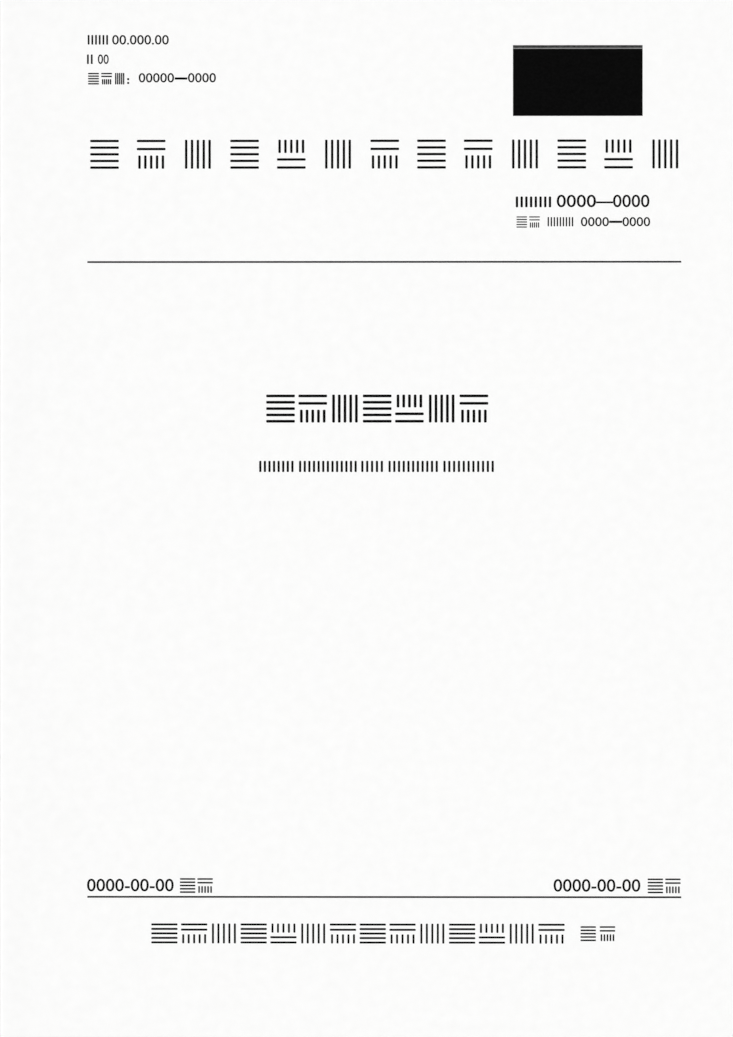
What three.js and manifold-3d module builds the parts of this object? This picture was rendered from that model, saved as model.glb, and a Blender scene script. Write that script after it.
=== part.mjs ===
// A wire-stapled A4 booklet, lying closed on its back cover, in millimetres with +Z up.
// The cover and the text sheets are each folded once and nested at the spine, and two wire
// staples go through all the folds. The head of the page is towards +Y, the spine is at -X and
// the fore-edge at +X. The origin is the middle of the page, on the back cover's outer face.

import * as THREE from "three";
import { mergeVertices } from "three/addons/utils/BufferGeometryUtils.js";
import Module from "manifold-3d";

const wasm = await Module();
wasm.setup();

// The trimmed page, the papers and the air between two leaves at the fold
const PAGE_WIDTH = 210;
const PAGE_HEIGHT = 297;
const COVER_GAUGE = 0.2;
const TEXT_GAUGE = 0.1;
const TEXT_SHEETS = 4;
const AIR = 0.06;

// The staples
const WIRE_DIAMETER = 0.45;
const WIRE_AIR = 0.1;
const CROWN_LENGTH = 12;
const CLINCH_LENGTH = 4.8;
const BEND_RADIUS = 0.45;
const STAPLE_PITCH = 148.5;
const PAPER_TO_WIRE = 0.05;
const LEG_HOLE_DIAMETER = 0.6;

// How far the front half's leaves spring up at the fore-edge, from the cover to the centre,
// and how far they all settle beyond the staples
const COVER_SPRING = 1.8;
const CENTRE_SPRING = 0.25;
const SETTLE = 0.5;
const SETTLE_RUN = 26;

// The front cover turns on a crease part of the way up the fold, a hair outside the paper
const CREASE_ANGLE = (3 * Math.PI) / 4;
const CREASE_PROUD = 0.05;
const CREASE_SLIT = 0.1;

// Facets: those of a round fold and of the wire are twice the curve segments given here
const FOLD_CURVE_SEGMENTS = 6;
const WIRE_CURVE_SEGMENTS = 4;
const SETTLE_SEGMENTS = 8;
const SPRING_SEGMENTS = 14;
const WIRE_STEPS = 90;
const HOLE_SIDES = 10;

// The folds nest round one line. Each sheet's inner radius is that of the sheet inside it,
// plus one paper and one layer of air, and the centre sheet leaves room for the wire.
const centreInner = WIRE_DIAMETER / 2 + WIRE_AIR;
const coverInner = centreInner + TEXT_SHEETS * (TEXT_GAUGE + AIR);
const coverOuter = coverInner + COVER_GAUGE;
const leafLength = PAGE_WIDTH - coverOuter;

const coverPaper = new THREE.MeshStandardMaterial({ color: 0xfbfbfa, roughness: 0.6 });
const textPaper = new THREE.MeshStandardMaterial({ color: 0xf6f5f0, roughness: 0.85 });
const stapleWire = new THREE.MeshStandardMaterial({
  color: 0xb9bcc0,
  roughness: 0.35,
  metalness: 0.9,
});

// Goes from 0 to 1, with no slope at either end.
function smoothRise(share) {
  const s = Math.min(Math.max(share, 0), 1);
  return s * s * (3 - 2 * s);
}

// A front leaf's height above its height at the fold, at a distance from the fold line.
function leafRise(distance, spring) {
  return spring * smoothRise(distance / leafLength) - SETTLE * smoothRise(distance / SETTLE_RUN);
}

// The distances from the fold line where a front leaf's curve has its points.
const leafStations = [];
for (let i = 1; i < SETTLE_SEGMENTS; i++) leafStations.push((SETTLE_RUN * i) / SETTLE_SEGMENTS);
for (let i = 0; i <= SPRING_SEGMENTS; i++) {
  leafStations.push(SETTLE_RUN + ((leafLength - SETTLE_RUN) * i) / SPRING_SEGMENTS);
}

// Sections are drawn looking from the tail to the head, with the fold line at 0, 0.
// This draws a front leaf from the top of the outer fold to the top of the inner fold.
function traceFrontLeaf(section, outer, inner, spring) {
  for (const d of leafStations) section.lineTo(d, outer + leafRise(d, spring));
  for (const d of leafStations.toReversed()) section.lineTo(d, inner + leafRise(d, spring));
  section.lineTo(0, inner);
}

// A whole text sheet: back leaf, half-round fold and front leaf.
function textSheetSection(inner, spring) {
  const outer = inner + TEXT_GAUGE;
  const section = new THREE.Shape();
  section.moveTo(leafLength, -outer);
  section.lineTo(0, -outer);
  section.absarc(0, 0, outer, -Math.PI / 2, Math.PI / 2, true);
  traceFrontLeaf(section, outer, inner, spring);
  section.absarc(0, 0, inner, Math.PI / 2, -Math.PI / 2, false);
  section.lineTo(leafLength, -inner);
  return section;
}

// The slit at the crease lets the front cover turn as a piece of its own.
const halfSlit = CREASE_SLIT / 2 / coverOuter;

// The cover's back leaf and spine, up to the crease.
function backCoverSection() {
  const slit = CREASE_ANGLE + halfSlit;
  const section = new THREE.Shape();
  section.moveTo(leafLength, -coverOuter);
  section.lineTo(0, -coverOuter);
  section.absarc(0, 0, coverOuter, -Math.PI / 2, slit, true);
  section.lineTo(coverInner * Math.cos(slit), coverInner * Math.sin(slit));
  section.absarc(0, 0, coverInner, slit, -Math.PI / 2, false);
  section.lineTo(leafLength, -coverInner);
  return section;
}

// The cover's front leaf, from the crease to the fore-edge.
function frontCoverSection() {
  const slit = CREASE_ANGLE - halfSlit;
  const section = new THREE.Shape();
  section.moveTo(coverOuter * Math.cos(slit), coverOuter * Math.sin(slit));
  section.absarc(0, 0, coverOuter, slit, Math.PI / 2, true);
  traceFrontLeaf(section, coverOuter, coverInner, COVER_SPRING);
  section.absarc(0, 0, coverInner, Math.PI / 2, slit, false);
  return section;
}

// Runs a section along the whole fold, from the head of the page to the tail.
function alongFold(section) {
  return new THREE.ExtrudeGeometry(section, {
    depth: PAGE_HEIGHT,
    bevelEnabled: false,
    curveSegments: FOLD_CURVE_SEGMENTS,
  });
}

// The staples' places along the fold, from the head.
const stapleStations = [(PAGE_HEIGHT - STAPLE_PITCH) / 2, (PAGE_HEIGHT + STAPLE_PITCH) / 2];

function toSolid(geometry) {
  geometry.deleteAttribute("normal");
  geometry.deleteAttribute("uv");
  const merged = mergeVertices(geometry);
  const mesh = new wasm.Mesh({
    numProp: 3,
    vertProperties: merged.attributes.position.array,
    triVerts: new Uint32Array(merged.index.array),
  });
  return new wasm.Manifold(mesh);
}

function toGeometry(solid) {
  const mesh = solid.getMesh();
  const geometry = new THREE.BufferGeometry();
  geometry.setAttribute("position", new THREE.BufferAttribute(mesh.vertProperties, 3));
  geometry.setIndex(new THREE.BufferAttribute(mesh.triVerts, 1));
  geometry.computeVertexNormals();
  return geometry;
}

// A sheet run along the fold, with the holes that the staples' legs make through its spine.
function stapledSheet(section) {
  const holeLength = 2 * coverOuter;
  let sheet = toSolid(alongFold(section));
  for (const station of stapleStations) {
    for (const side of [-1, 1]) {
      const radius = LEG_HOLE_DIAMETER / 2;
      const hole = new THREE.CylinderGeometry(radius, radius, holeLength, HOLE_SIDES);
      hole.rotateZ(Math.PI / 2);
      hole.translate(-holeLength / 2, 0, station + (side * CROWN_LENGTH) / 2);
      sheet = sheet.subtract(toSolid(hole));
    }
  }
  return toGeometry(sheet);
}

// A path through corner points, with each inner corner rounded to the bend radius.
function bentWire(corners) {
  const quarterPull = 0.5523;
  const path = new THREE.CurvePath();
  let from = corners[0];
  for (let i = 1; i < corners.length - 1; i++) {
    const corner = corners[i];
    const bendStart = corner.clone().add(from.clone().sub(corner).setLength(BEND_RADIUS));
    const bendEnd = corner.clone().add(corners[i + 1].clone().sub(corner).setLength(BEND_RADIUS));
    const startPull = bendStart.clone().lerp(corner, quarterPull);
    const endPull = bendEnd.clone().lerp(corner, quarterPull);
    path.add(new THREE.LineCurve3(from, bendStart));
    path.add(new THREE.CubicBezierCurve3(bendStart, startPull, endPull, bendEnd));
    from = bendEnd;
  }
  path.add(new THREE.LineCurve3(from, corners.at(-1)));
  return path;
}

// One staple about its own middle: the crown lies outside the spine, the legs go through the
// folds, and their ends are clinched towards each other inside the centre spread.
function stapleGeometry() {
  const wireRadius = WIRE_DIAMETER / 2;
  const crownX = -(coverOuter + PAPER_TO_WIRE + wireRadius);
  const clinchX = -(centreInner - PAPER_TO_WIRE - wireRadius);
  const leg = CROWN_LENGTH / 2;
  const end = leg - CLINCH_LENGTH;
  const corners = [
    [clinchX, -end],
    [clinchX, -leg],
    [crownX, -leg],
    [crownX, leg],
    [clinchX, leg],
    [clinchX, end],
  ].map(([x, along]) => new THREE.Vector3(x, 0, along));
  const round = new THREE.Shape().absarc(0, 0, wireRadius, 0, 2 * Math.PI);
  return new THREE.ExtrudeGeometry(round, {
    extrudePath: bentWire(corners),
    steps: WIRE_STEPS,
    curveSegments: WIRE_CURVE_SEGMENTS,
  });
}

function piece(name, geometry, material) {
  const mesh = new THREE.Mesh(geometry, material);
  mesh.name = name;
  return mesh;
}

const booklet = new THREE.Group();

// The sheets' frame: the fold line runs along its Z, from the head of the page to the tail.
const fold = new THREE.Group();
fold.position.set(-PAGE_WIDTH / 2 + coverOuter, PAGE_HEIGHT / 2, coverOuter);
fold.rotation.x = Math.PI / 2;
booklet.add(fold);

fold.add(piece("back_cover_with_spine", stapledSheet(backCoverSection()), coverPaper));

// Text sheet 1 is the outermost, and carries the first page and the last.
for (let sheet = 1; sheet <= TEXT_SHEETS; sheet++) {
  const sheetsInside = TEXT_SHEETS - sheet;
  const inner = centreInner + sheetsInside * (TEXT_GAUGE + AIR);
  const shareOfSpring = sheetsInside / TEXT_SHEETS;
  const spring = CENTRE_SPRING + (COVER_SPRING - CENTRE_SPRING) * shareOfSpring;
  const geometry = stapledSheet(textSheetSection(inner, spring));
  fold.add(piece(`text_sheet_${sheet}`, geometry, textPaper));
}

// The front cover hangs in a group whose origin is on the crease, which is its hinge line.
const creaseRadius = coverOuter + CREASE_PROUD;
const hinge = new THREE.Group();
hinge.position.x = creaseRadius * Math.cos(CREASE_ANGLE);
hinge.position.y = creaseRadius * Math.sin(CREASE_ANGLE);
const frontCover = piece("front_cover", alongFold(frontCoverSection()), coverPaper);
frontCover.position.copy(hinge.position).negate();
hinge.add(frontCover);
fold.add(hinge);

for (const [i, name] of ["staple_head", "staple_tail"].entries()) {
  const staple = piece(name, stapleGeometry(), stapleWire);
  staple.position.z = stapleStations[i];
  fold.add(staple);
}

export default booklet;
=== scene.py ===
import math

import bmesh
import bpy
import numpy as np
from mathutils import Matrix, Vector


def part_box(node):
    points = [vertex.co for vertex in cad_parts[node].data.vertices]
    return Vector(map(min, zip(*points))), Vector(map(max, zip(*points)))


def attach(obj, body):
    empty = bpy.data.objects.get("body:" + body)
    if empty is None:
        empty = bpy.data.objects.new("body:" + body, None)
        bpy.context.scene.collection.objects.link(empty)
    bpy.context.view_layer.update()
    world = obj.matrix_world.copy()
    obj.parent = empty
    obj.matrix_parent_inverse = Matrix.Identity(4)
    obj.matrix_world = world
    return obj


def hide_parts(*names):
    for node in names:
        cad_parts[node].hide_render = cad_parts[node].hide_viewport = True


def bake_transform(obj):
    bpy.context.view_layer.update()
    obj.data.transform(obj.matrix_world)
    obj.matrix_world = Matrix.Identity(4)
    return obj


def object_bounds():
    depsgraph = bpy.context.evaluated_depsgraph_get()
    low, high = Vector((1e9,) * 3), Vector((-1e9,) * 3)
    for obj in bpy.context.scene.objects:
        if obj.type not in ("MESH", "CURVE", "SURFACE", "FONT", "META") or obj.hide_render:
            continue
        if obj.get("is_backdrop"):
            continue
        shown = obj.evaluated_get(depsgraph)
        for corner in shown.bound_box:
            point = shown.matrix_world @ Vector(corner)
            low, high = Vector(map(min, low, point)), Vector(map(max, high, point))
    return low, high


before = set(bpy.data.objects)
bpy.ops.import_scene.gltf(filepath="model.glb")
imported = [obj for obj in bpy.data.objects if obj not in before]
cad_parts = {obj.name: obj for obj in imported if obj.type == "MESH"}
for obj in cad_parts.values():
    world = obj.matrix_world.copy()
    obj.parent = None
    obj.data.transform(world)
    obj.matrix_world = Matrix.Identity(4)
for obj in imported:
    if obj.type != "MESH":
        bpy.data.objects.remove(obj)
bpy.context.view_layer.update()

# Text sheets
# Four sheets of offset paper, each folded once across its middle and nested in the next one,
# so that they make sixteen pages. After stapling they are trimmed together on three sides, and
# the folded paper springs back a little, which fans the front leaves out at the fore-edge.
mm = 0.001
text_sheets = 4
text_gauge = 0.1 * mm

# The staples lie level with the fold line, and the spine is a half round about it.
staple_boxes = {name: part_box(name) for name in ("staple_head", "staple_tail")}
wire_low, wire_high = staple_boxes["staple_head"]
back_low, back_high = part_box("back_cover_with_spine")
tail_y, head_y = back_low.y, back_high.y
fore_edge_x = back_high.x
fold_z = (wire_low.z + wire_high.z) / 2
fold_x = back_low.x + fold_z
leaf_length = fore_edge_x - fold_x

# The front leaves settle a little beyond the fold, and then spring up towards the fore-edge.
centre_spring = 0.25 * mm
cover_spring = 1.8 * mm
settle_depth = 0.5 * mm
settle_run = 26 * mm

# Away from the staples the folds are pressed flatter, and the cover's leaf eases down to them.
fold_squeeze = 0.3 * mm
squeeze_run = 28 * mm
cover_ease = 9 * mm

# The cut wanders along the fore-edge, and each sheet starts at another place in its wandering.
trim_step = 0.05 * mm
cut_wander = 0.02 * mm
wander_length = 41 * mm
wander_start = 0.03 * mm


def smooth_rise(share):
    """Rises from 0 to 1, level at both ends."""
    held = np.clip(share, 0, 1)
    return held * held * (3 - 2 * held)


def sheet_spring(sheets_inside):
    """How far a sheet's front leaf springs up: the more, the more sheets lie inside it."""
    return centre_spring + (cover_spring - centre_spring) * sheets_inside / text_sheets


def air_waves(distance, y, sheets_inside):
    """The shallow waves that damp air leaves in paper: some run through all the leaves."""
    # Each wave has its height and its length in mm, and the share of a turn where it starts.
    shared = [(0.10, 226, 0.08), (0.04, 97, 0.36)]
    own = [
        (0.06, 131 + 23 * sheets_inside, 0.37 * sheets_inside),
        (0.02, 61, 0.23 * sheets_inside),
    ]
    waves = 0
    for height, length, start in shared + own:
        waves = waves + height * mm * np.sin(2 * math.pi * (y / (length * mm) + start))
    return waves * smooth_rise(distance / leaf_length)


def squeezed(y):
    """How far the folds are pressed flat: not at the staples, whose wire holds them open."""
    past_staples = [
        np.maximum(np.maximum(low.y - y, y - high.y), 0) for low, high in staple_boxes.values()
    ]
    return fold_squeeze * smooth_rise(np.min(past_staples, axis=0) / squeeze_run)


def front_leaf_z(distance, y, radius, sheets_inside):
    """Height of a front leaf's face, at a distance from the fold line."""
    lift = sheet_spring(sheets_inside) * smooth_rise(distance / leaf_length)
    pressed = squeezed(y)
    if sheets_inside == text_sheets:
        # The cover's spine stays round, and its leaf comes down to the pressed folds beside it.
        pressed = pressed * smooth_rise(distance / cover_ease)
    settle = pressed + (settle_depth - squeezed(y)) * smooth_rise(distance / settle_run)
    return fold_z + radius + lift - settle + air_waves(distance, y, sheets_inside)


def trimmed(distances, ys, cut_in):
    """Where the trimmed fore-edge leaves each point: the cut wanders by some hundredths."""
    wander = np.sin(2 * math.pi * ys / wander_length + cut_in / wander_start)
    cut = cut_in + cut_wander * wander
    return distances * (1 - cut / leaf_length)


def back_leaf_face(radius, distances, ys, cut_in):
    """One face of a back leaf, which lies flat."""
    x = fold_x + trimmed(distances[:, None], ys[None, :], cut_in)
    y = np.broadcast_to(ys, x.shape)
    return np.stack([x, y, np.full(x.shape, fold_z - radius)], axis=2)


def fold_face(radius, angles, ys):
    """One face of the half-round fold, lower where it is pressed flat."""
    half = squeezed(ys)[None, :] / 2
    turn = angles[:, None]
    z = fold_z - half + (radius - half) * np.sin(turn)
    x = np.broadcast_to(fold_x + radius * np.cos(turn), z.shape)
    return np.stack([x, np.broadcast_to(ys, z.shape), z], axis=2)


def front_leaf_face(radius, distances, ys, cut_in, sheets_inside):
    """One face of a front leaf, which settles, springs up and waves."""
    reach = trimmed(distances[:, None], ys[None, :], cut_in)
    y = np.broadcast_to(ys, reach.shape)
    z = front_leaf_z(reach, y, radius, sheets_inside)
    return np.stack([fold_x + reach, y, z], axis=2)


def sheet_quads(rows, columns):
    """The corners of a thin sheet's quads: those of its two faces, and those of its edges."""
    outer = np.arange(rows * columns).reshape(rows, columns)
    inner = outer + rows * columns

    def quads(*corners):
        return np.stack([corner.ravel() for corner in corners], axis=1)

    faces = [
        quads(outer[:-1, :-1], outer[1:, :-1], outer[1:, 1:], outer[:-1, 1:]),
        quads(inner[:-1, :-1], inner[:-1, 1:], inner[1:, 1:], inner[1:, :-1]),
    ]
    edges = [
        quads(outer[:-1, 0], inner[:-1, 0], inner[1:, 0], outer[1:, 0]),
        quads(outer[:-1, -1], outer[1:, -1], inner[1:, -1], inner[:-1, -1]),
        quads(outer[0, :-1], outer[0, 1:], inner[0, 1:], inner[0, :-1]),
        quads(outer[-1, :-1], inner[-1, :-1], inner[-1, 1:], outer[-1, 1:]),
    ]
    return np.concatenate(faces), np.concatenate(edges)


def shade_round(mesh):
    """Shades a mesh as smoothly curved, but for its sharp edges."""
    mesh.shade_smooth()
    mesh.set_sharp_from_angle(angle=math.radians(50))


def placed(name, content):
    """Puts a mesh, a line of type, a lamp or a camera into the scene."""
    made = bpy.data.objects.new(name, content)
    bpy.context.scene.collection.objects.link(made)
    return made


def paper_solid(name, outer, inner, paper, cut_paper):
    """A sheet of paper between its outer face and its inner one, closed round by cut edges."""
    faces, edges = sheet_quads(*outer.shape[:2])
    points = np.concatenate([outer.reshape(-1, 3), inner.reshape(-1, 3)])
    mesh = bpy.data.meshes.new(name)
    mesh.from_pydata(points.tolist(), [], np.concatenate([faces, edges]).tolist())
    mesh.materials.append(paper)
    mesh.materials.append(cut_paper)
    is_edge = np.arange(len(mesh.polygons)) >= len(faces)
    mesh.polygons.foreach_set("material_index", is_edge.astype(np.int32))
    shade_round(mesh)
    return placed(name, mesh)


def feed(tree, fed, feeds):
    """Feeds a shader node's inputs with values, or with the outputs of other nodes."""
    for socket, source in feeds.items():
        if isinstance(source, bpy.types.NodeSocket):
            tree.links.new(source, fed.inputs[socket])
        else:
            fed.inputs[socket].default_value = source


def node(tree, kind, feeds, **settings):
    """Adds a shader node, sets it up and feeds it."""
    made = tree.nodes.new(kind)
    for key, value in settings.items():
        setattr(made, key, value)
    feed(tree, made, feeds)
    return made


def noise(tree, place, per_metre, detail):
    """Noise with that many cells to the metre."""
    feeds = {"Vector": place, "Scale": per_metre, "Detail": detail}
    return node(tree, "ShaderNodeTexNoise", feeds).outputs["Fac"]


def drawn_out(tree, place, along_fold):
    """The place on a piece, for marks that are drawn out along the fold."""
    feeds = {"Vector": place, "Scale": (1, along_fold, 1)}
    return node(tree, "ShaderNodeMapping", feeds).outputs["Vector"]


def between(tree, share, low, high):
    """A value that goes from low to high as the share goes from 0 to 1."""
    feeds = {"Value": share, "To Min": low, "To Max": high}
    return node(tree, "ShaderNodeMapRange", feeds).outputs["Result"]


def mixed_colour(tree, share, first, second):
    """Mixes two colours. The node has like names for several sockets, so they go by number."""
    factor, first_colour, second_colour, colour_out = 0, 6, 7, 2
    feeds = {factor: share, first_colour: (*first, 1), second_colour: (*second, 1)}
    return node(tree, "ShaderNodeMix", feeds, data_type="RGBA").outputs[colour_out]


def relief(tree, height, strength, depth, over=None):
    """The normal of a relief, laid over another relief where one is given."""
    feeds = {"Height": height, "Strength": strength, "Distance": depth}
    if over is not None:
        feeds["Normal"] = over
    return node(tree, "ShaderNodeBump", feeds).outputs["Normal"]


def new_finish(name):
    """A new material, its node tree, and the place on the piece that its marks follow."""
    material = bpy.data.materials.new(name)
    material.use_nodes = True
    tree = material.node_tree
    place = node(tree, "ShaderNodeTexCoord", {}).outputs["Object"]
    return material, tree, place


def feed_shader(tree, feeds):
    """Feeds the shader that a new material starts with."""
    feed(tree, tree.nodes["Principled BSDF"], feeds)


def paper_finish(name, white, shade, tooth):
    """Uncoated paper: cloudy formation, and fibres that lie mostly along the fold."""
    material, tree, place = new_finish(name)
    clouds = noise(tree, place, per_metre=340, detail=4)
    fibres = noise(tree, drawn_out(tree, place, along_fold=0.28), per_metre=3800, detail=4)
    cockle = relief(tree, clouds, strength=tooth, depth=0.04 * mm)
    looks = {
        "Base Color": mixed_colour(tree, clouds, shade, white),
        "Roughness": between(tree, clouds, low=0.80, high=0.96),
        "Specular IOR Level": 0.08,
        "Normal": relief(tree, fibres, strength=tooth, depth=0.09 * mm, over=cockle),
    }
    feed_shader(tree, looks)
    return material


def cut_edge_finish(name, white, shade):
    """The fuzzy cut edge of paper, a little darker than its face: painted shade, for the grey that
    a rough, stacked edge shows under light. The fuzz that mixes its two tones is the fibres' own.
    """
    material, tree, place = new_finish(name)
    fuzz = noise(tree, place, per_metre=5200, detail=2)
    looks = {
        "Base Color": mixed_colour(tree, fuzz, shade, white),
        "Roughness": 0.95,
        "Specular IOR Level": 0.1,
        "Normal": relief(tree, fuzz, strength=0.6, depth=0.05 * mm),
    }
    feed_shader(tree, looks)
    return material


offset_paper = paper_finish("offset_paper", (0.91, 0.902, 0.872), (0.83, 0.822, 0.788), tooth=0.65)
# The text paper's cut edges are darker than its face: painted shade.
offset_cut = cut_edge_finish("offset_paper_cut", (0.78, 0.77, 0.73), (0.66, 0.65, 0.61))

half_fold = np.linspace(-math.pi / 2, -3 * math.pi / 2, num=21)[1:-1]
back_distances = np.linspace(leaf_length, 0, num=14)
settling = np.linspace(0, settle_run, num=15)
springing = np.linspace(settle_run, leaf_length, num=50)
front_distances = np.concatenate([settling[:-1], springing])
text_ys = np.linspace(tail_y, head_y, num=100)

for sheet in range(1, text_sheets + 1):
    sheets_inside = text_sheets - sheet
    cut_in = trim_step * sheets_inside
    outer_radius = fold_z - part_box(f"text_sheet_{sheet}")[0].z
    faces = []
    for radius in (outer_radius, outer_radius - text_gauge):
        stretches = [
            back_leaf_face(radius, back_distances, text_ys, cut_in),
            fold_face(radius, half_fold, text_ys),
            front_leaf_face(radius, front_distances, text_ys, cut_in, sheets_inside),
        ]
        faces.append(np.concatenate(stretches))
    folded = paper_solid(f"folded_text_sheet_{sheet}", *faces, offset_paper, offset_cut)
    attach(folded, "bound_sheets")
    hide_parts(f"text_sheet_{sheet}")

# Cover sheet
# One sheet of heavier white paper, folded round the text sheets. It carries the staples on its
# spine, and it creases beside the spine when the front is opened: its back half and spine, its
# crease and its front leaf are made as three pieces that meet on the same points.
cover_gauge = 0.2 * mm
cover_outer = fold_z
cover_inner = cover_outer - cover_gauge
crease_angle = 3 * math.pi / 4
crease_half_width = 0.3 * mm
crease_half_angle = crease_half_width / cover_outer
dent_depth = 0.075 * mm
dent_reach = 0.6 * mm

leg_ys = []
for low, high in staple_boxes.values():
    wire_gauge = high.z - low.z
    leg_ys += [low.y + wire_gauge / 2, high.y - wire_gauge / 2]

# The points along the fold stand closer together beside each leg, where the paper is dented.
near_leg = np.linspace(-2.4 * mm, 2.4 * mm, num=25)
even_ys = np.linspace(tail_y, head_y, num=109)
cover_ys = np.concatenate([even_ys] + [leg + near_leg for leg in leg_ys])
cover_ys = np.unique(np.round(cover_ys, decimals=7))


def leg_dent(angles, ys):
    """How far the wire's legs draw the paper in, round the holes that they make."""
    aside = (angles[:, None] - math.pi) * cover_outer
    dent = 0
    for leg in leg_ys:
        dent = dent + np.exp(-(aside**2 + (ys[None, :] - leg) ** 2) / dent_reach**2)
    return dent_depth * dent


def spine_face(radius, angles, ys):
    """One face of a stretch of the round spine, dented at the wire's legs."""
    drawn_in = radius - leg_dent(angles, ys)
    x = fold_x + drawn_in * np.cos(angles)[:, None]
    z = fold_z + drawn_in * np.sin(angles)[:, None]
    return np.stack([x, np.broadcast_to(ys, x.shape), z], axis=2)


cover_paper = paper_finish("cover_paper", (0.945, 0.945, 0.94), (0.888, 0.888, 0.881), tooth=0.50)
# The cover's cut edges are darker than its face: painted shade.
cover_cut = cut_edge_finish("cover_paper_cut", (0.86, 0.86, 0.855), (0.76, 0.76, 0.755))

crease_from = crease_angle + crease_half_angle
crease_to = crease_angle - crease_half_angle
spine_angles = np.linspace(3 * math.pi / 2, crease_from, num=29)[1:]
crease_angles = np.linspace(crease_from, crease_to, num=13)
shoulder_angles = np.linspace(crease_to, math.pi / 2, num=8)[:-1]

faces = []
for radius in (cover_outer, cover_inner):
    leaf = back_leaf_face(radius, back_distances, cover_ys, cut_in=0)
    faces.append(np.concatenate([leaf, spine_face(radius, spine_angles, cover_ys)]))
cover_back = paper_solid("cover_back_and_spine", *faces, cover_paper, cover_cut)
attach(cover_back, "bound_sheets")
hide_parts("back_cover_with_spine")

faces = [spine_face(radius, crease_angles, cover_ys) for radius in (cover_outer, cover_inner)]
cover_crease = paper_solid("cover_crease", *faces, cover_paper, cover_cut)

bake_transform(cover_crease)

faces = []
for radius in (cover_outer, cover_inner):
    leaf = front_leaf_face(radius, front_distances, cover_ys, 0, text_sheets)
    faces.append(np.concatenate([spine_face(radius, shoulder_angles, cover_ys), leaf]))
cover_front = paper_solid("cover_front_leaf", *faces, cover_paper, cover_cut)
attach(cover_front, "front_cover")
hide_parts("front_cover")

# Staples
# Two staples of round galvanized wire, driven through the spine from outside. The crown lies on
# the spine, the legs go through every fold, and their ends are clinched on the centre spread.
bend_radius = 0.45 * mm
clinch_length = 4.8 * mm
wire_sides = 20
bend_steps = 8

# The shorn ends: how far in from the wire's end, and the share of its radius that it has there.
shorn_end = [(0, 0.80), (0.04 * mm, 1.0)]


def rounded_path(corners, radius):
    """A path through corners in a plane, each inner corner rounded by a quarter turn."""
    path = [corners[0]]
    for before, corner, after in zip(corners, corners[1:], corners[2:]):
        back = (before - corner) / np.linalg.norm(before - corner)
        on = (after - corner) / np.linalg.norm(after - corner)
        centre = corner + (back + on) * radius
        for turn in np.linspace(0, math.pi / 2, bend_steps + 1):
            path.append(centre - on * radius * math.cos(turn) - back * radius * math.sin(turn))
    path.append(corners[-1])
    return np.array(path)


def turn_outward(mesh, weld_reach=0.0):
    """Turns a mesh's faces outward, after welding the points that lie within a reach."""
    shell = bmesh.new()
    shell.from_mesh(mesh)
    if weld_reach:
        bmesh.ops.remove_doubles(shell, verts=shell.verts, dist=weld_reach)
    bmesh.ops.recalc_face_normals(shell, faces=shell.faces)
    shell.to_mesh(mesh)
    shell.free()


def wire_mesh(name, path, radius, finish):
    """Round wire swept along a path that lies in a level plane, with its shorn ends closed."""
    ahead = np.gradient(path, axis=0)
    ahead /= np.linalg.norm(ahead, axis=1)[:, None]
    up = np.array([0, 0, 1.0])
    aside = np.cross(ahead, up)
    first = [(path[0] + ahead[0] * step, aside[0], share) for step, share in shorn_end]
    middle = [(point, side, 1.0) for point, side in zip(path[1:-1], aside[1:-1])]
    last = [(path[-1] - ahead[-1] * step, aside[-1], share) for step, share in shorn_end[::-1]]
    turns = np.linspace(0, 2 * math.pi, wire_sides, endpoint=False)
    rings = []
    for point, side, share in first + middle + last:
        ring = [
            point + radius * share * (side * math.cos(turn) + up * math.sin(turn))
            for turn in turns
        ]
        rings.append(ring)
    points = np.array(rings).reshape(-1, 3)
    faces = []
    for ring in range(len(rings) - 1):
        for k in range(wire_sides):
            this = ring * wire_sides + k
            beside = ring * wire_sides + (k + 1) % wire_sides
            faces.append((this, beside, beside + wire_sides, this + wire_sides))
    faces.append(tuple(range(wire_sides))[::-1])
    faces.append(tuple(range(len(points) - wire_sides, len(points))))
    mesh = bpy.data.meshes.new(name)
    mesh.from_pydata(points.tolist(), [], faces)
    turn_outward(mesh)
    mesh.materials.append(finish)
    shade_round(mesh)
    return placed(name, mesh)


def galvanized_finish():
    """Zinc-coated drawn wire: bright, with fine draw marks along it and a duller bloom."""
    material, tree, place = new_finish("galvanized_wire")
    marks = noise(tree, drawn_out(tree, place, along_fold=0.04), per_metre=14000, detail=2)
    bloom = noise(tree, place, per_metre=900, detail=4)
    looks = {
        "Base Color": mixed_colour(tree, bloom, (0.50, 0.51, 0.53), (0.76, 0.77, 0.79)),
        "Metallic": 1.0,
        "Roughness": between(tree, bloom, low=0.26, high=0.48),
        "Normal": relief(tree, marks, strength=0.35, depth=0.01 * mm),
    }
    feed_shader(tree, looks)
    return material


galvanized = galvanized_finish()
for name, (low, high) in staple_boxes.items():
    radius = (high.z - low.z) / 2
    crown_x, clinch_x = low.x + radius, high.x - radius
    tail_leg, head_leg = low.y + radius, high.y - radius
    corners = [
        (clinch_x, tail_leg + clinch_length),
        (clinch_x, tail_leg),
        (crown_x, tail_leg),
        (crown_x, head_leg),
        (clinch_x, head_leg),
        (clinch_x, head_leg - clinch_length),
    ]
    corners = [np.array([x, y, fold_z]) for x, y in corners]
    wire = wire_mesh(f"wire_{name}", rounded_path(corners, bend_radius), radius, galvanized)
    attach(wire, "bound_sheets")
    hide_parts(name)

# Print on the front cover
# Black offset ink, a thin film on the paper. Words are left as plain ruling: squares of level
# and upright strokes for characters, and rows of upright strokes for words in Latin type.
# Figures are plain noughts.
page_left = back_low.x
page_top = head_y

# The film's underside lies half its depth off the paper, so that the two never share a face.
ink_depth = 0.02 * mm
ink_lift = 0.5
ink_weld = 0.0001 * mm

# How round a stroke's ends are, how far in upright strokes stand, and the pitch of a word's
# strokes, all in widths of the stroke.
stroke_rounding = 0.3
upright_inset = 0.6
word_pitch = 2.15

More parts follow.
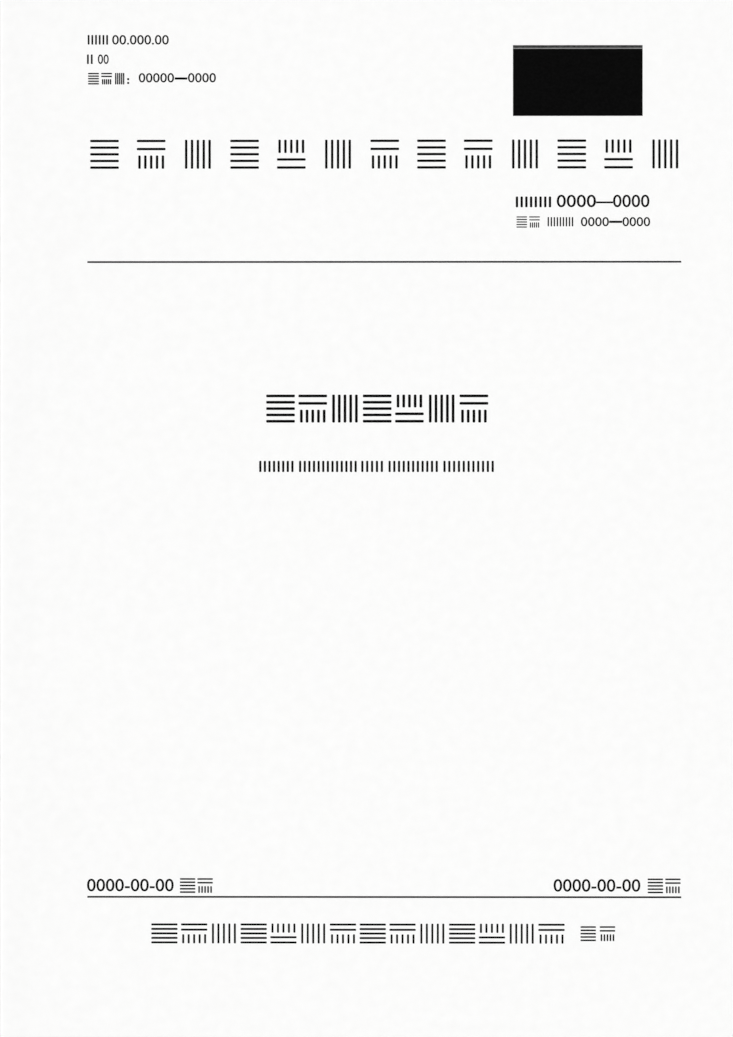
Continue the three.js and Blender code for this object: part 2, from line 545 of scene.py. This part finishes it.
# A block is cut into strips, in mm, and a round corner has points at this share of its radius.
strip_width = 2.5
corner_share = 0.3


def ink_finish(name, tone, mottle, per_metre):
    """Offset ink, matt on uncoated paper, and a little thin in places."""
    material, tree, place = new_finish(name)
    speckle = noise(tree, place, per_metre, detail=3)
    stretch = {"Value": speckle, "From Min": 0.3, "From Max": 0.7}
    thinness = node(tree, "ShaderNodeMapRange", stretch).outputs["Result"]
    full_ink = (tone, tone, tone)
    thin_ink = (tone + mottle, tone + mottle, tone + mottle)
    looks = {
        "Base Color": mixed_colour(tree, thinness, full_ink, thin_ink),
        "Roughness": 0.7,
        "Specular IOR Level": 0.03,
    }
    feed_shader(tree, looks)
    return material


black_ink = ink_finish("black_ink", tone=0.0008, mottle=0.002, per_metre=1600)
worn_ink = ink_finish("worn_black_ink", tone=0.0, mottle=0.09, per_metre=2800)
hairline_ink = ink_finish("hairline_ink", tone=0.21, mottle=0.06, per_metre=1600)


def cover_print_z(x, y):
    """Height of the cover's upper face, which the film follows."""
    return front_leaf_z(x - fold_x, y, cover_outer, text_sheets)


# A ruled square's bands: where each starts and the share of the height that it takes, how many
# strokes it has, and whether they are upright.
all_level = [(0.0, 1.0, 5, False)]
all_upright = [(0.0, 1.0, 5, True)]
level_over_upright = [(0.0, 0.36, 2, False), (0.54, 0.46, 5, True)]
upright_over_level = [(0.0, 0.46, 5, True), (0.64, 0.36, 2, False)]
square_rulings = [
    all_level,
    level_over_upright,
    all_upright,
    all_level,
    upright_over_level,
    all_upright,
    level_over_upright,
]


class PrintForme:
    """Gathers inked shapes, in mm from the page's left and top edges, and prints them."""

    def __init__(self, name, paper_z):
        self.name = name
        self.paper_z = paper_z
        self.points = []
        self.faces = []
        self.inks = []
        self.face_inks = []

    def add(self, points, faces, finish):
        """Adds a film's points, whose third value is 0 on the paper and 1 on the film's face."""
        if finish not in self.inks:
            self.inks.append(finish)
        first = len(self.points)
        self.points += points
        self.faces += [tuple(first + k for k in face) for face in faces]
        self.face_inks += [self.inks.index(finish)] * len(faces)

    def block(self, left, top, width, height, finish, corner=0.0):
        """A block, with round corners where asked, in strips fine enough to follow the paper."""
        columns = math.ceil(width / strip_width)
        rows = math.ceil(height / strip_width)
        xs = [corner + (width - 2 * corner) * k / columns for k in range(columns + 1)]
        if corner:
            step = corner * corner_share
            xs = [0.0, step] + xs + [width - step, width]
        points = []
        for film_side in (1, 0):
            for x in xs:
                inside = max(0.0, corner - min(x, width - x))
                cut = corner - math.sqrt(corner**2 - inside**2)
                for row in range(rows + 1):
                    y = cut + (height - 2 * cut) * row / rows
                    points.append((left + x, top + y, film_side))
        quads = np.concatenate(sheet_quads(len(xs), rows + 1))
        self.add(points, quads.tolist(), finish)

    def ruled(self, left, top, width, height, stroke, strokes, upright):
        """A place filled with parallel strokes, from edge to edge."""
        corner = stroke * stroke_rounding
        span = (width if upright else height) - stroke
        for k in range(strokes):
            aside = span * k / (strokes - 1)
            if upright:
                self.block(left + aside, top, stroke, height, black_ink, corner)
            else:
                self.block(left, top + aside, width, stroke, black_ink, corner)

    def characters(self, count, left, top, step, width, height, stroke):
        """A run of ruled squares, one for each character."""
        for k in range(count):
            for start, share, strokes, upright in square_rulings[k % len(square_rulings)]:
                inset = upright_inset * stroke if upright else 0
                self.ruled(
                    left + step * k + inset,
                    top + height * start,
                    width - 2 * inset,
                    height * share,
                    stroke,
                    strokes,
                    upright,
                )

    def word(self, left, top, width, height, stroke):
        """A word in Latin type, as a row of upright strokes."""
        strokes = 1 + round((width - stroke) / (word_pitch * stroke))
        self.ruled(left, top, width, height, stroke, strokes, upright=True)

    def figures(self, text, left, top, width, height):
        """Plain figures, set to fill a line from its left to its right edge."""
        type_line = bpy.data.curves.new("figures", "FONT")
        type_line.body = text
        type_line.offset = 0.008
        type_line.extrude = 0.5
        type_line.resolution_u = 4
        setting = placed("figures", type_line)
        bpy.context.view_layer.update()
        shape = setting.evaluated_get(bpy.context.evaluated_depsgraph_get()).to_mesh()
        solid = np.array([point.co for point in shape.vertices])
        faces = [tuple(face.vertices) for face in shape.polygons]
        low, high = solid.min(axis=0), solid.max(axis=0)
        share = (solid - low) / (high - low)
        xs = left + share[:, 0] * width
        ys = top + (1 - share[:, 1]) * height
        self.add(np.stack([xs, ys, share[:, 2]], axis=1).tolist(), faces, black_ink)
        bpy.data.objects.remove(setting)
        bpy.data.curves.remove(type_line)

    def print(self):
        """Lays the gathered film on the paper, as one mesh with a closed shell for each shape in
        it.
        """
        shapes = np.array(self.points)
        x = page_left + shapes[:, 0] * mm
        y = page_top - shapes[:, 1] * mm
        z = self.paper_z(x, y) + ink_depth * (ink_lift + shapes[:, 2])
        mesh = bpy.data.meshes.new(self.name)
        mesh.from_pydata(np.stack([x, y, z], axis=1).tolist(), [], self.faces)
        for finish in self.inks:
            mesh.materials.append(finish)
        mesh.polygons.foreach_set("material_index", np.array(self.face_inks, np.int32))
        turn_outward(mesh, ink_weld)
        return placed(self.name, mesh)


rules = PrintForme("printed_rules", cover_print_z)
for top in (74.85, 256.55):
    rules.block(left=25.1, top=top, width=169.9, height=0.48, finish=black_ink)

# The block's bands are parted by a hair, because bands that share points make no closed film.
masthead = PrintForme("printed_masthead", cover_print_z)
band_gap = 0.004
for top, height, finish in (
    (13.13, 0.75, worn_ink),
    (13.88, 0.3, hairline_ink),
    (14.18, 19.18, black_ink),
):
    masthead.block(left=146.9, top=top, width=37.05, height=height - band_gap, finish=finish)
masthead.characters(13, left=25.9, top=40.1, step=13.37, width=8.2, height=8.3, stroke=0.68)

# Three short lines at the upper left, and two below the block at the right.
numbers = PrintForme("printed_numbers", cover_print_z)
numbers.word(left=25.2, top=10.1, width=5.8, height=2.75, stroke=0.50)
numbers.figures("00.000.00", left=32.2, top=10.1, width=16.2, height=2.75)
numbers.word(left=25.0, top=15.65, width=1.6, height=2.75, stroke=0.50)
numbers.figures("00", left=28.1, top=15.65, width=3.1, height=2.75)
numbers.characters(3, left=25.3, top=20.95, step=3.75, width=3.1, height=3.3, stroke=0.38)
for top in (22.45, 23.55):
    numbers.block(left=36.5, top=top, width=0.55, height=0.55, finish=black_ink)
numbers.figures("00000", left=39.8, top=21.0, width=10.1, height=2.7)
numbers.block(left=50.1, top=22.25, width=3.6, height=0.62, finish=black_ink)
numbers.figures("0000", left=53.9, top=21.0, width=8.0, height=2.7)
numbers.word(left=147.7, top=56.4, width=10.1, height=3.1, stroke=0.66)
numbers.figures("0000", left=159.4, top=55.9, width=11.2, height=3.6)
numbers.block(left=170.6, top=57.85, width=4.9, height=0.5, finish=black_ink)
numbers.figures("0000", left=175.5, top=55.9, width=10.4, height=3.6)
numbers.characters(2, left=147.9, top=62.1, step=3.65, width=3.0, height=3.2, stroke=0.31)
numbers.word(left=156.8, top=62.3, width=7.3, height=2.65, stroke=0.38)
numbers.figures("0000", left=166.3, top=62.3, width=8.0, height=2.65)
numbers.block(left=174.4, top=63.35, width=3.7, height=0.62, finish=black_ink)
numbers.figures("0000", left=178.2, top=62.3, width=7.9, height=2.65)

title = PrintForme("printed_title", cover_print_z)
title.characters(7, left=76.3, top=113.05, step=9.22, width=8.2, height=8.0, stroke=0.76)
for left, right in ((74.3, 84.1), (85.7, 102.2), (103.5, 109.7), (111.3, 125.4), (127.0, 141.4)):
    title.word(left=left, top=132.0, width=right - left, height=3.2, stroke=0.62)

dates = PrintForme("printed_dates", cover_print_z)
for left in (25.0, 158.5):
    dates.figures("0000-00-00", left=left, top=251.6, width=24.8, height=3.65)
for left in (51.6, 185.4):
    dates.characters(2, left=left, top=251.45, step=5.0, width=4.4, height=4.2, stroke=0.44)

imprint = PrintForme("printed_imprint", cover_print_z)
imprint.characters(14, left=43.4, top=264.4, step=8.52, width=7.5, height=5.7, stroke=0.56)
imprint.characters(2, left=166.2, top=265.1, step=5.5, width=4.4, height=4.25, stroke=0.44)

for forme in (rules, masthead, numbers, title, dates, imprint):
    printed = forme.print()
    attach(printed, "front_cover")

# Print on the first page
# The first text page carries a contents list in the same ink: a heading, and lines that end in
# dot leaders and a page number. Its characters too are plain ruled squares.
line_lengths = [4, 6, 11, 9, 7, 14, 10, 8, 12, 9, 6, 11]
page_numbers = [2, 3, 3, 4, 4, 5, 6, 7, 8, 9, 11, 12]
lines_left = 25.2
lines_top = 49.0
line_pitch = 7.4
character_pitch = 3.85
dots_gap = 1.5
dots_end = 187.5
dot_pitch = 1.5
dot_drop = 2.6
dot_size = 0.35
numbers_end = 194.8
figure_drop = 0.3
figure_width = 1.9
figure_height = 2.7

first_page_radius = fold_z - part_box("text_sheet_1")[0].z


def first_page_z(x, y):
    """Height of the first page, which the film follows."""
    return front_leaf_z(x - fold_x, y, first_page_radius, text_sheets - 1)


contents = PrintForme("printed_contents", first_page_z)
contents.characters(2, left=98.0, top=32.0, step=8.4, width=5.6, height=5.6, stroke=0.48)
for line, (length, number) in enumerate(zip(line_lengths, page_numbers)):
    top = lines_top + line_pitch * line
    contents.characters(
        length, left=lines_left, top=top, step=character_pitch, width=3.3, height=3.2, stroke=0.30
    )
    dots_start = lines_left + character_pitch * length + dots_gap
    for k in range(int((dots_end - dots_start) / dot_pitch)):
        dot_left = dots_end - dot_pitch * (k + 1)
        contents.block(dot_left, top + dot_drop, dot_size, dot_size, black_ink)
    number_width = figure_width * len(str(number))
    number_left = numbers_end - number_width
    contents.figures(str(number), number_left, top + figure_drop, number_width, figure_height)
contents.figures("1", left=193.4, top=277.0, width=1.3, height=figure_height)
listed = contents.print()
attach(listed, "bound_sheets")

# Table, lights and camera
# The booklet lies on a plain pale table under broad soft lamps. The camera looks straight down
# on the page from far off, and the page fills its picture.
table_reach = 4.0
table_z = -0.02 * mm
table_corners = [(-1, -1), (1, -1), (1, 1), (-1, 1)]
table_points = [(table_reach * x, table_reach * y, table_z) for x, y in table_corners]
table_mesh = bpy.data.meshes.new("table_top")
table_mesh.from_pydata(table_points, [], [(0, 1, 2, 3)])
table_finish = bpy.data.materials.new("pale_table")
table_finish.use_nodes = True
table_looks = {"Base Color": (0.58, 0.58, 0.585, 1), "Roughness": 0.9, "Specular IOR Level": 0}
feed_shader(table_finish.node_tree, table_looks)
table_mesh.materials.append(table_finish)
table_top = placed("table_top", table_mesh)
table_top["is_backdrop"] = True


def soft_lamp(name, place, spread_deg, strength):
    """A broad, far lamp that lights the whole table evenly from one side."""
    lamp = bpy.data.lights.new(name, "SUN")
    lamp.angle = math.radians(spread_deg)
    lamp.energy = strength
    hung = placed(name, lamp)
    hung.location = place
    hung.rotation_mode = "QUATERNION"
    hung.rotation_quaternion = (-Vector(place)).to_track_quat("-Z", "Y")


soft_lamp("key_lamp", (-1.45, 1.15, 2.0), spread_deg=22, strength=2.15)
soft_lamp("fill_lamp", (1.6, -0.9, 1.8), spread_deg=44, strength=0.77)

# The studio is as bright round its foot as the table, and dimmer overhead.
studio = bpy.data.worlds.new("studio")
studio.use_nodes = True
sky = studio.node_tree
facing = node(sky, "ShaderNodeTexCoord", {}).outputs["Generated"]
skyward = node(sky, "ShaderNodeSeparateXYZ", {"Vector": facing}).outputs["Z"]
glow = mixed_colour(sky, skyward, (0.62, 0.62, 0.624), (0.27, 0.27, 0.27))
feed(sky, sky.nodes["Background"], {"Color": glow})
bpy.context.scene.world = studio

# At this height the page's length, seen level with the fold, fills the long side of the film.
lens_mm = 180
film_mm = 36
page_height = head_y - tail_y
camera_data = bpy.data.cameras.new("camera")
camera_data.lens = lens_mm
camera_data.sensor_width = film_mm
camera_data.clip_start = 0.01
camera = placed("camera", camera_data)
camera.location = (0, 0, fold_z + page_height * lens_mm / film_mm)
bpy.context.scene.camera = camera

bpy.context.scene.view_settings.view_transform = "Standard"

low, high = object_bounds()
